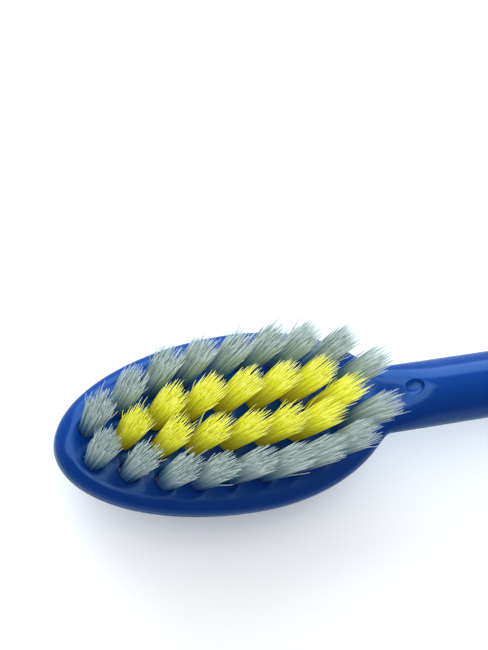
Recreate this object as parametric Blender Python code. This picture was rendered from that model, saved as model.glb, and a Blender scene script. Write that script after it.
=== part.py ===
"""A child's manual toothbrush, lying on its back, in metres with +Z up.

The moulded handle runs along X with the head at its -X end. The bristles stand along +Z.
Thirty tufts are folded into blind holes in the head, each held by a flat metal anchor
that spans the fold and bites into the wall on both sides of its hole.
"""

import math

import bmesh
import bpy
from mathutils import Matrix, Vector

# Clearances, overruns and the distance at which coincident points are welded
SEAT_GAP = 0.0003
TUFT_CLEARANCE = 0.00015
ANCHOR_CLEARANCE = 0.0001
STRAND_CLEARANCE = 0.00005
CUT_OVERRUN = 0.0005
WELD_DISTANCE = 0.000002

# Head: two half ellipses in plan that meet where it is widest
HEAD_TIP_TO_WIDEST = 0.0134
HEAD_WIDEST_TO_NECK = 0.0104
HEAD_HALF_WIDTH = 0.00625
HEAD_THICKNESS = 0.0041
HEAD_BACK_HEIGHT = 0.0037
RIM_RADIUS = 0.0010
BACK_RADIUS = 0.0026
HEAD_TO_NECK_POWER = 6
FACE_SHARE = 0.912
BACK_SHARE = 0.45

# Neck, a round stem that leaves the head a little above its middle
NECK_HALF_WIDTH = 0.0024
NECK_HALF_HEIGHT = 0.0024
NECK_AXIS_BELOW_FACE = 0.00075
NECK_BLEND_LENGTH = 0.0030
NECK_LENGTH = 0.0270

# Grip: a crest under the thumb, a waist, a swell in the palm and a domed tail
SHOULDER_LENGTH = 0.0250
UPPER_GRIP_LENGTH = 0.0250
LOWER_GRIP_LENGTH = 0.0270
TAIL_LENGTH = 0.0222
TAIL_DOME_LENGTH = 0.0085
CREST_HALF_WIDTH = 0.0064
CREST_HEIGHT = 0.0116
WAIST_HALF_WIDTH = 0.0056
WAIST_HEIGHT = 0.0104
PALM_HALF_WIDTH = 0.0066
PALM_HEIGHT = 0.0120
LAND_HALF_WIDTH = 0.0026
GRIP_UPPER_SHARE = 0.52

# Tufts and the holes that they are folded into
HOLE_RADIUS = 0.00076
HOLE_DEPTH = 0.0031
YELLOW_BRISTLE_HEIGHT = 0.0088
GREY_BRISTLE_HEIGHT = 0.0093
ROOT_RISE = 0.0003
FOLD_THICKNESS = 0.0004
STRAND_RADIUS = 0.0001
STRAND_END_RADIUS = 0.00017
STRAND_SINK = 0.0005
STRAND_RINGS = ((1, 0.0), (5, 0.5), (9, 1.0))
STRAND_SIDES = 3
TAPER_START_SHARE = 0.76
UNEVEN_TIP_SHARE = 0.09
TIP_LEAN_ALONG_SHARE = 0.047
TIP_LEAN_ACROSS_SHARE = 0.080

# Anchors, one for each tuft but the last: sixty objects is the most that the model may hold
ANCHOR_COUNT = 29
ANCHOR_THICKNESS = 0.00025
ANCHOR_HEIGHT = 0.0014
ANCHOR_BITE = 0.0002
PAIR_ANCHOR_TURN = math.radians(30)

# Tuft places: the first number is a share of the head's length from its tip, the second
# a share of its greatest half width, on both sides of the middle line
GREY_PAIR_SHARES = (
    (0.100, 0.174), (0.193, 0.358), (0.292, 0.515), (0.386, 0.568), (0.485, 0.570),
    (0.579, 0.594), (0.669, 0.558), (0.766, 0.470), (0.846, 0.230),
)
YELLOW_PAIR_SHARES = (
    (0.290, 0.157), (0.391, 0.190), (0.492, 0.202), (0.592, 0.205), (0.693, 0.206),
)
YELLOW_SINGLE_SHARES = ((0.192, 0.0), (0.763, 0.0))

# Facets
CORNER_STEPS = 4
HOLE_SIDES = 10
PLUG_SIDES = 8
NOSE_STEPS = 12
HEAD_REAR_STEPS = 8
NECK_BLEND_STEPS = 3
NECK_STEPS = 5
SHOULDER_STEPS = 8
GRIP_STEPS = 6
TAIL_STEPS = 3
DOME_STEPS = 8
SMOOTH_ANGLE = math.radians(35)
GOLDEN_SHARE = (math.sqrt(5) - 1) / 2

# Places along the brush, from the head's tip
HEAD_LENGTH = HEAD_TIP_TO_WIDEST + HEAD_WIDEST_TO_NECK
FACE_END = HEAD_LENGTH * FACE_SHARE
BACK_END = HEAD_LENGTH * BACK_SHARE
NECK_START = HEAD_LENGTH + NECK_BLEND_LENGTH
NECK_END = HEAD_LENGTH + NECK_LENGTH
CREST = NECK_END + SHOULDER_LENGTH
WAIST = CREST + UPPER_GRIP_LENGTH
PALM = WAIST + LOWER_GRIP_LENGTH
BRUSH_LENGTH = PALM + TAIL_LENGTH
DOME_START = BRUSH_LENGTH - TAIL_DOME_LENGTH

# Heights above the surface that the brush lies on
FACE_HEIGHT = HEAD_BACK_HEIGHT + HEAD_THICKNESS
NECK_AXIS_HEIGHT = FACE_HEIGHT - NECK_AXIS_BELOW_FACE
NECK_TOP = NECK_AXIS_HEIGHT + NECK_HALF_HEIGHT
NECK_BOTTOM = NECK_AXIS_HEIGHT - NECK_HALF_HEIGHT
HOLE_FLOOR = FACE_HEIGHT - HOLE_DEPTH
ANCHOR_BOTTOM = HOLE_FLOOR + SEAT_GAP + FOLD_THICKNESS + ANCHOR_CLEARANCE
ANCHOR_MIDDLE = ANCHOR_BOTTOM + ANCHOR_HEIGHT / 2

# What fits in the holes
PLUG_RADIUS = HOLE_RADIUS * math.cos(math.pi / HOLE_SIDES) - TUFT_CLEARANCE
STRAND_RING_RADIUS = PLUG_RADIUS * math.cos(math.pi / PLUG_SIDES) - STRAND_RADIUS
ANCHOR_HALF_LENGTH = HOLE_RADIUS + ANCHOR_BITE


def clear_scene():
    """Remove every object, so that the script can run twice in one file."""
    for item in list(bpy.data.objects):
        bpy.data.objects.remove(item, do_unlink=True)


def make_collection(name):
    """Return a new collection linked to the scene."""
    collection = bpy.data.collections.new(name)
    bpy.context.scene.collection.children.link(collection)
    return collection


def make_material(name, colour, roughness, metallic=0.0):
    """Return a Principled BSDF material."""
    material = bpy.data.materials.new(name)
    material.use_nodes = True
    shader = material.node_tree.nodes["Principled BSDF"]
    shader.inputs["Base Color"].default_value = (*colour, 1.0)
    shader.inputs["Roughness"].default_value = roughness
    shader.inputs["Metallic"].default_value = metallic
    material.diffuse_color = (*colour, 1.0)
    return material


def object_from_bmesh(shape, name, collection, material=None):
    """Turn a bmesh into an object in the given collection, with its faces pointing out."""
    bmesh.ops.recalc_face_normals(shape, faces=shape.faces)
    mesh = bpy.data.meshes.new(name)
    shape.to_mesh(mesh)
    shape.free()
    if material:
        mesh.materials.append(material)
    item = bpy.data.objects.new(name, mesh)
    collection.objects.link(item)
    return item


def make_cutter(shape, name, collection):
    """Turn a bmesh into a hidden cutter."""
    cutter = object_from_bmesh(shape, name, collection)
    cutter.hide_render = True
    cutter.display_type = "WIRE"
    return cutter


def add_boolean(item, tool, operation):
    """Cut or join one object with another by a live modifier."""
    modifier = item.modifiers.new(f"{operation.lower()}_{tool.name}", "BOOLEAN")
    modifier.operation = operation
    modifier.solver = "EXACT"
    modifier.object = tool


def apply_booleans(item, tools):
    """Keep an object's evaluated mesh, and remove its modifiers and the tools they used."""
    graph = bpy.context.evaluated_depsgraph_get()
    mesh = bpy.data.meshes.new_from_object(item.evaluated_get(graph))
    item.modifiers.clear()
    item.data = mesh
    for tool in tools:
        bpy.data.objects.remove(tool, do_unlink=True)


def smooth_share(share):
    """Ease a share between 0 and 1, so that it starts and ends level."""
    share = min(max(share, 0.0), 1.0)
    return share * share * (3 - 2 * share)


def mix(first, second, share):
    """Return the value a share of the way from first to second."""
    return first + (second - first) * share


def eased(along, stops):
    """Read a size at a place along the brush from its stops, easing from stop to stop."""
    if along <= stops[0][0]:
        return stops[0][1]
    for (start, first), (end, second) in zip(stops, stops[1:]):
        if along <= end:
            return mix(first, second, smooth_share((along - start) / (end - start)))
    return stops[-1][1]


def quarter_round(distance, radius):
    """Return how much of a rounded edge has risen at a distance in from its outside."""
    if distance >= radius:
        return 1.0
    return math.sqrt(1 - (1 - distance / radius) ** 2)


def head_half_width(along):
    """Return the half width of the head's egg outline, and zero behind it."""
    reach = HEAD_TIP_TO_WIDEST if along < HEAD_TIP_TO_WIDEST else HEAD_WIDEST_TO_NECK
    share = min(abs(along - HEAD_TIP_TO_WIDEST) / reach, 1.0)
    return HEAD_HALF_WIDTH * math.sqrt(1 - share * share)


def stem_half_width(along):
    """Return the half width of the neck and the grip, which also runs into the head."""
    nose = head_half_width(along) / HEAD_HALF_WIDTH if along < HEAD_TIP_TO_WIDEST else 1.0
    return nose * eased(along, (
        (NECK_END, NECK_HALF_WIDTH),
        (CREST, CREST_HALF_WIDTH),
        (WAIST, WAIST_HALF_WIDTH),
        (PALM, PALM_HALF_WIDTH),
    ))


def half_width(along):
    """Return the half width of the whole outline, with the neck blended into the head."""
    head = head_half_width(along) ** HEAD_TO_NECK_POWER
    stem = stem_half_width(along) ** HEAD_TO_NECK_POWER
    return (head + stem) ** (1 / HEAD_TO_NECK_POWER)


def rim_stretch(along):
    """Return how much wider a rounded rim looks across the brush where the outline slants."""
    low = max(along - RIM_RADIUS, 0.0)
    high = min(along + RIM_RADIUS, BRUSH_LENGTH)
    return math.hypot(1, (half_width(high) - half_width(low)) / (high - low))


def corner_points(centre, radii, start_turn):
    """Return the points of one quarter ellipse of a section, as across and up pairs."""
    points = []
    for step in range(CORNER_STEPS + 1):
        turn = start_turn + math.pi / 2 * step / CORNER_STEPS
        across = centre[0] + radii[0] * math.cos(turn)
        points.append((across, centre[1] + radii[1] * math.sin(turn)))
    return points


def section_outline(along):
    """Return one closed section of the handle, flat topped at the head and round behind it."""
    width = half_width(along)
    top = eased(along, (
        (FACE_END, FACE_HEIGHT),
        (NECK_START, NECK_TOP),
        (NECK_END, NECK_TOP),
        (CREST, CREST_HEIGHT),
        (WAIST, WAIST_HEIGHT),
        (PALM, PALM_HEIGHT),
    ))
    bottom = eased(along, (
        (BACK_END, HEAD_BACK_HEIGHT),
        (NECK_START, NECK_BOTTOM),
        (NECK_END, NECK_BOTTOM),
        (CREST, 0.0),
    ))
    land = eased(along, ((NECK_END, 0.0), (CREST, LAND_HALF_WIDTH)))
    roundness = eased(along, ((FACE_END, 0.0), (NECK_START, 1.0)))
    height = top - bottom
    stretch = rim_stretch(along)
    rim = RIM_RADIUS * quarter_round(along, RIM_RADIUS)
    back = BACK_RADIUS * quarter_round(along, BACK_RADIUS)
    top -= RIM_RADIUS - rim
    bottom += BACK_RADIUS - back
    upper = (
        mix(min(RIM_RADIUS * stretch, width), width, roundness),
        mix(rim, height * GRIP_UPPER_SHARE, roundness),
    )
    lower = (
        mix(min(BACK_RADIUS * stretch, width), width - land, roundness),
        mix(back, height * (1 - GRIP_UPPER_SHARE), roundness),
    )
    quarters = (
        corner_points((width - upper[0], top - upper[1]), upper, 0),
        corner_points((upper[0] - width, top - upper[1]), upper, math.pi / 2),
        corner_points((lower[0] - width, bottom + lower[1]), lower, math.pi),
        corner_points((width - lower[0], bottom + lower[1]), lower, math.pi * 3 / 2),
    )
    return [point for quarter in quarters for point in quarter]


def domed(outline, along):
    """Shrink a section towards its middle where it lies in the tail's dome."""
    size = quarter_round(BRUSH_LENGTH - along, TAIL_DOME_LENGTH)
    middle = PALM_HEIGHT * (1 - GRIP_UPPER_SHARE)
    return [(across * size, middle + (up - middle) * size) for across, up in outline]


def even_places(start, end, steps):
    """Return places along one stretch, without its start."""
    return [mix(start, end, step / steps) for step in range(1, steps + 1)]


def section_places():
    """Return where the handle's sections lie, closer together where its outline curves."""
    quarter = math.pi / 2
    places = [0.0]
    for step in range(1, NOSE_STEPS + 1):
        places.append(HEAD_TIP_TO_WIDEST * (1 - math.cos(quarter * step / NOSE_STEPS)))
    for step in range(1, HEAD_REAR_STEPS + 1):
        turn = quarter * step / HEAD_REAR_STEPS
        places.append(HEAD_TIP_TO_WIDEST + HEAD_WIDEST_TO_NECK * math.sin(turn))
    places += even_places(HEAD_LENGTH, NECK_START, NECK_BLEND_STEPS)
    places += even_places(NECK_START, NECK_END, NECK_STEPS)
    places += even_places(NECK_END, CREST, SHOULDER_STEPS)
    places += even_places(CREST, WAIST, GRIP_STEPS)
    places += even_places(WAIST, PALM, GRIP_STEPS)
    places += even_places(PALM, DOME_START, TAIL_STEPS)
    for step in range(1, DOME_STEPS + 1):
        places.append(DOME_START + TAIL_DOME_LENGTH * math.sin(quarter * step / DOME_STEPS))
    return places


def tuft_places():
    """Return (name, x, y, bristle height, anchor turn) of every tuft, in the brush's frame."""
    places = []

    def add_place(colour, shares, side, bristle_height, turn):
        number = sum(place[0].startswith(colour) for place in places) + 1
        x = HEAD_LENGTH * shares[0] - BRUSH_LENGTH / 2
        y = HEAD_HALF_WIDTH * shares[1] * side
        places.append((f"{colour}_{number:02d}", x, y, bristle_height, turn * side))

    for shares in GREY_PAIR_SHARES:
        for side in (-1, 1):
            add_place("grey", shares, side, GREY_BRISTLE_HEIGHT, PAIR_ANCHOR_TURN)
    for shares in YELLOW_PAIR_SHARES:
        for side in (-1, 1):
            add_place("yellow", shares, side, YELLOW_BRISTLE_HEIGHT, PAIR_ANCHOR_TURN)
    for shares in YELLOW_SINGLE_SHARES:
        add_place("yellow", shares, 1, YELLOW_BRISTLE_HEIGHT, 0.0)
    return places


def tip_centre(x, y):
    """Return where a tuft's tips are centred: it leans away from the middle of the head."""
    middle = HEAD_LENGTH / 2 - BRUSH_LENGTH / 2
    along = x + (x - middle) * TIP_LEAN_ALONG_SHARE
    return Vector((along, y + y * TIP_LEAN_ACROSS_SHARE))


def tip_radius(place, places):
    """Return how far a tuft's tips may spread before they meet those of its neighbours."""
    own = tip_centre(place[1], place[2])
    gaps = [(own - tip_centre(x, y)).length for name, x, y, _, _ in places if name != place[0]]
    return min(gaps) / 2 - STRAND_END_RADIUS - STRAND_CLEARANCE


def add_box(shape, size, centre, turn):
    """Add a box to a bmesh, turned about the vertical."""
    place = Matrix.Translation(centre) @ Matrix.Rotation(turn, 4, "Z")
    bmesh.ops.create_cube(shape, size=1, matrix=place @ Matrix.Diagonal((*size, 1)))


def add_prism(shape, radius, sides, centre, bottom, top):
    """Add an upright prism to a bmesh."""
    middle = Vector((centre[0], centre[1], (bottom + top) / 2))
    bmesh.ops.create_cone(
        shape, cap_ends=True, segments=sides, radius1=radius, radius2=radius,
        depth=top - bottom, matrix=Matrix.Translation(middle),
    )


def add_strand(shape, root, tip):
    """Add one bristle: a three sided rod that widens upwards and ends in a pointed tip."""
    rod_end = root.lerp(tip, TAPER_START_SHARE)
    lean = (tip - root).to_track_quat("Z", "Y").to_matrix().to_4x4()
    known = set(shape.faces)
    bmesh.ops.create_cone(
        shape, cap_ends=True, segments=STRAND_SIDES, radius1=STRAND_RADIUS,
        radius2=STRAND_END_RADIUS, depth=(rod_end - root).length,
        matrix=Matrix.Translation(root.lerp(rod_end, 0.5)) @ lean,
    )
    made = [face for face in shape.faces if face not in known]
    cap = max(made, key=lambda face: face.calc_center_median().z)
    point = bmesh.ops.poke(shape, faces=[cap])["verts"][0]
    point.co = tip


def make_handle(collection, cutters, material, places):
    """Loft the handle through its sections, and cut the tuft holes and anchor pockets."""
    shape = bmesh.new()
    rings = []
    for along in section_places():
        outline = domed(section_outline(along), along)
        x = along - BRUSH_LENGTH / 2
        rings.append([shape.verts.new((x, across, up)) for across, up in outline])
    for ring, following in zip(rings, rings[1:]):
        for index in range(len(ring)):
            after = (index + 1) % len(ring)
            shape.faces.new((ring[index], ring[after], following[after], following[index]))
    bmesh.ops.remove_doubles(shape, verts=shape.verts, dist=WELD_DISTANCE)
    handle = object_from_bmesh(shape, "handle_body", collection, material)
    handle.data.shade_smooth()
    handle.data.set_sharp_from_angle(angle=SMOOTH_ANGLE)

    holes = bmesh.new()
    pockets = bmesh.new()
    pocket_size = (
        (ANCHOR_HALF_LENGTH + ANCHOR_CLEARANCE) * 2,
        ANCHOR_THICKNESS + ANCHOR_CLEARANCE * 2,
        ANCHOR_HEIGHT + ANCHOR_CLEARANCE * 2,
    )
    for _, x, y, _, turn in places:
        add_prism(holes, HOLE_RADIUS, HOLE_SIDES, (x, y), HOLE_FLOOR, FACE_HEIGHT + CUT_OVERRUN)
        add_box(pockets, pocket_size, (x, y, ANCHOR_MIDDLE), turn)
    add_boolean(handle, make_cutter(holes, "tuft_hole_cutter", cutters), "DIFFERENCE")
    add_boolean(handle, make_cutter(pockets, "anchor_pocket_cutter", cutters), "DIFFERENCE")


def make_tuft(place, places, collection, cutters, material):
    """Make one tuft: a folded root with a window for its anchor, and its spread bristles."""
    name, x, y, bristle_height, turn = place
    floor = HOLE_FLOOR - FACE_HEIGHT
    root = bmesh.new()
    add_prism(root, PLUG_RADIUS, PLUG_SIDES, (0, 0), floor + SEAT_GAP, ROOT_RISE)
    tuft = object_from_bmesh(root, f"tuft_{name}", collection, material)

    window = bmesh.new()
    window_size = (
        (PLUG_RADIUS + CUT_OVERRUN) * 2,
        ANCHOR_THICKNESS + ANCHOR_CLEARANCE * 2,
        ANCHOR_HEIGHT + ANCHOR_CLEARANCE * 2,
    )
    add_box(window, window_size, (0, 0, ANCHOR_MIDDLE - FACE_HEIGHT), turn)
    window_cutter = make_cutter(window, f"window_{name}", cutters)
    add_boolean(tuft, window_cutter, "DIFFERENCE")

    strands = bmesh.new()
    spread = tip_radius(place, places)
    tips = tip_centre(x, y) - Vector((x, y))
    made = 0
    for count, ring_share in STRAND_RINGS:
        for index in range(count):
            turn_in_ring = math.tau * (index + ring_share) / count
            outward = Vector((math.cos(turn_in_ring), math.sin(turn_in_ring))) * ring_share
            unevenness = (made * GOLDEN_SHARE) % 1 * UNEVEN_TIP_SHARE
            foot = outward * STRAND_RING_RADIUS
            end = tips + outward * spread
            add_strand(
                strands, Vector((*foot, ROOT_RISE - STRAND_SINK)),
                Vector((*end, bristle_height * (1 - unevenness))),
            )
            made += 1
    strand_tool = make_cutter(strands, f"strands_{name}", cutters)
    add_boolean(tuft, strand_tool, "UNION")
    apply_booleans(tuft, (window_cutter, strand_tool))
    tuft.location = (x, y, FACE_HEIGHT)


def make_anchors(places, collection, material):
    """Place one flat metal anchor in the fold of each tuft that has one here."""
    shape = bmesh.new()
    size = (ANCHOR_HALF_LENGTH * 2, ANCHOR_THICKNESS, ANCHOR_HEIGHT)
    add_box(shape, size, (0, 0, 0), 0)
    first = object_from_bmesh(shape, f"anchor_{places[0][0]}", collection, material)
    for name, x, y, _, turn in places[:ANCHOR_COUNT]:
        anchor = first
        if name != places[0][0]:
            anchor = bpy.data.objects.new(f"anchor_{name}", first.data)
            collection.objects.link(anchor)
        anchor.location = (x, y, ANCHOR_MIDDLE)
        anchor.rotation_euler = (0, 0, turn)


def main():
    """Build the toothbrush."""
    clear_scene()
    brush = make_collection("toothbrush")
    cutters = make_collection("cutters")
    blue = make_material("blue_plastic", (0.012, 0.060, 0.270), 0.28)
    grey = make_material("grey_nylon", (0.420, 0.480, 0.440), 0.45)
    yellow = make_material("yellow_nylon", (0.600, 0.600, 0.020), 0.45)
    metal = make_material("anchor_metal", (0.620, 0.530, 0.340), 0.35, metallic=1.0)
    places = tuft_places()
    for place in places:
        nylon = grey if place[0].startswith("grey") else yellow
        make_tuft(place, places, brush, cutters, nylon)
    make_anchors(places, brush, metal)
    make_handle(brush, cutters, blue, places)


main()
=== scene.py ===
"""The looks of the toothbrush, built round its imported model.

The handle is one glossy blue moulding with flared tuft holes, a fine parting line and the small
marks of its mould. Each tuft is a bundle of tapered nylon filaments, folded under a flat metal
anchor. Every size is in metres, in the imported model's frame: the head points along -X, the
bristles along +Z, and the brush lies on Z = 0.
"""

import logging
import math
from collections.abc import Sequence
from dataclasses import dataclass, field
from enum import Enum
from itertools import product

import bmesh
import bpy
import numpy as np
from mathutils import Matrix, Vector


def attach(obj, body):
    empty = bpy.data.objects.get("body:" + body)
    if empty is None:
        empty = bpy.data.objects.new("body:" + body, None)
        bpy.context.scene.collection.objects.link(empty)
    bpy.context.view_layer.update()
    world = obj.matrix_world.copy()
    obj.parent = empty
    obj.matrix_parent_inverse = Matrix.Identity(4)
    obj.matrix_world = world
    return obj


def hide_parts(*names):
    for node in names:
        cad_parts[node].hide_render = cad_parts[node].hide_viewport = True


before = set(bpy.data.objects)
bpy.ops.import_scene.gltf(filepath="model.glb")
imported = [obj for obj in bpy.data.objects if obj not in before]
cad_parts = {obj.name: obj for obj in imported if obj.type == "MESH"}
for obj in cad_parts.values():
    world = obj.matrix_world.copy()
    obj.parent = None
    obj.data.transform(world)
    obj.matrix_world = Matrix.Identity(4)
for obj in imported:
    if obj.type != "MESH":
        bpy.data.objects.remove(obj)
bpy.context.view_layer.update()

MM = 0.001
BODY = "root"
STRAND_MAP = "strand"
QUARTER_TURN = math.pi / 2
GOLDEN_TURN = math.pi * (3 - math.sqrt(5))
UNIT = (0.0, 1.0)
EVEN = (1.0, 1.0, 1.0)
UP = (0.0, 0.0, 1.0)

Pair = tuple[float, float]
Point = tuple[float, float, float]
Colour = tuple[float, float, float]
Shape = bmesh.types.BMesh
Piece = bpy.types.Object
Material = bpy.types.Material
Tree = bpy.types.NodeTree
Node = bpy.types.Node
Socket = bpy.types.NodeSocket
Inputs = dict[str | int, object]

log = logging.getLogger("toothbrush")


class Slot(Enum):
    """The record's material slots."""

    HANDLE = "handle_plastic"
    GREY = "grey_bristle"
    YELLOW = "yellow_bristle"
    METAL = "anchor_metal"


class Nylon(Enum):
    """The two colours of bristle, by the word in their nodes' names."""

    GREY = "grey"
    YELLOW = "yellow"

    @property
    def slot(self) -> Slot:
        """The slot that this bristle takes its finish from."""
        return Slot[self.name]


def smooth_share(share: float) -> float:
    """Ease a share between 0 and 1, so that it starts and ends level."""
    share = min(max(share, 0.0), 1.0)
    return share * share * (3 - 2 * share)


def mix(first: float, second: float, share: float) -> float:
    """Return the value a share of the way from first to second."""
    return first + (second - first) * share


def eased(along: float, stops: Sequence[Pair]) -> float:
    """Read a size at a place along the brush.

    Args:
        along: The place, measured from the head's tip.
        stops: Pairs of place and size, in order.

    Returns:
        The size, eased from stop to stop.
    """
    if along <= stops[0][0]:
        return stops[0][1]
    for (start, first), (end, second) in zip(stops, stops[1:]):
        if along <= end:
            return mix(first, second, smooth_share((along - start) / (end - start)))
    return stops[-1][1]


def quarter_round(distance: float, radius: float) -> float:
    """Return how much of a rounded edge has risen at a distance in from its outside."""
    share = min(distance / radius, 1.0)
    return math.sqrt(1 - (1 - share) ** 2)


def quarter_turns(steps: int) -> np.ndarray:
    """Return the angles of a quarter turn that is cut into equal steps."""
    return np.linspace(0.0, QUARTER_TURN, steps + 1)


def unit_circle(sides: int) -> list[Pair]:
    """Return points that lie evenly round a circle of radius 1."""
    turns = (math.tau * side / sides for side in range(sides))
    return [(math.cos(turn), math.sin(turn)) for turn in turns]


class Loft:
    """A closed skin that is extruded ring by ring from one section to the next."""

    def __init__(self, sections: Sequence[Sequence[Point]]) -> None:
        """Loft the skin through its sections.

        Args:
            sections: Each section's points, the same number in all.
        """
        self.shape = bmesh.new()
        sides = len(sections[0])
        self.ring = bmesh.ops.create_circle(self.shape, segments=sides, radius=1.0)["verts"]
        self.edges = list(self.shape.edges)
        for number, section in enumerate(sections):
            if number > 0:
                self.extrude()
            for vertex, point in zip(self.ring, section):
                vertex.co = point

    def extrude(self) -> None:
        """Extrude the newest ring into the next one."""
        made = bmesh.ops.extrude_edge_only(self.shape, edges=self.edges)["geom"]
        fresh = {item for item in made if isinstance(item, bmesh.types.BMVert)}
        partners = []
        for vertex in self.ring:
            others = (edge.other_vert(vertex) for edge in vertex.link_edges)
            partners.append(next(other for other in others if other in fresh))
        self.ring = partners
        self.edges = [
            item for item in made
            if isinstance(item, bmesh.types.BMEdge) and all(vert in fresh for vert in item.verts)
        ]

    def close_ends(self) -> None:
        """Fill the first and the last ring with one face each."""
        open_edges = [edge for edge in self.shape.edges if edge.is_boundary]
        bmesh.ops.holes_fill(self.shape, edges=open_edges, sides=len(self.ring))

    def weld(self, distance: float) -> Shape:
        """Merge coincident points and turn every face outwards.

        Args:
            distance: How close two points are to count as one.

        Returns:
            The finished shape.
        """
        bmesh.ops.remove_doubles(self.shape, verts=self.shape.verts, dist=distance)
        bmesh.ops.recalc_face_normals(self.shape, faces=self.shape.faces)
        return self.shape


def tube_shape(rings: int, sides: int) -> bpy.types.Mesh:
    """Make one plain closed tube whose rings are placed later.

    Args:
        rings: How many rings it has.
        sides: How many points each ring has.

    Returns:
        Its mesh, with its vertices in the order of the rings.
    """
    circle = unit_circle(sides)
    loft = Loft([[(x, y, float(level)) for x, y in circle] for level in range(rings)])
    loft.close_ends()
    loft.shape.verts.sort(key=lambda vertex: round(vertex.co.z) * math.tau
                          + math.atan2(vertex.co.y, vertex.co.x) % math.tau)
    bmesh.ops.recalc_face_normals(loft.shape, faces=loft.shape.faces)
    mesh = bpy.data.meshes.new("tube")
    loft.shape.to_mesh(mesh)
    loft.shape.free()
    return mesh


def object_from(shape: Shape, name: str) -> Piece:
    """Turn a bmesh into an object of the scene, and free it.

    Args:
        shape: The mesh to take over.
        name: The object's name.

    Returns:
        The new object, at the origin.
    """
    mesh = bpy.data.meshes.new(name)
    shape.to_mesh(mesh)
    shape.free()
    item = bpy.data.objects.new(name, mesh)
    bpy.context.scene.collection.objects.link(item)
    return item


def cut(body: Piece, shape: Shape) -> None:
    """Cut a shape out of a body for good.

    Args:
        body: The object that loses material.
        shape: The closed tool shape, which is used up.
    """
    tool = object_from(shape, "cutting_tool")
    modifier = body.modifiers.new("cut", "BOOLEAN")
    modifier.operation = "DIFFERENCE"
    modifier.solver = "EXACT"
    modifier.object = tool
    graph = bpy.context.evaluated_depsgraph_get()
    mesh = bpy.data.meshes.new_from_object(body.evaluated_get(graph))
    body.modifiers.clear()
    body.data = mesh
    bpy.data.objects.remove(tool, do_unlink=True)


def dress(piece: Piece, slot: Slot, material: Material, *replaced: str) -> None:
    """Give a new piece its material and body, and let it stand for its CAD nodes.

    Args:
        piece: The finished piece.
        slot: Not used.
        material: The material that it wears.
        replaced: The CAD nodes that it stands for.
    """
    piece.data.materials.clear()
    piece.data.materials.append(material)
    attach(piece, BODY)
    if replaced:
        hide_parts(*replaced)
    faces = len(piece.data.polygons)
    log.info("%s: %d faces, stands for %s", piece.name, faces, " ".join(replaced) or "no node")


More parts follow.
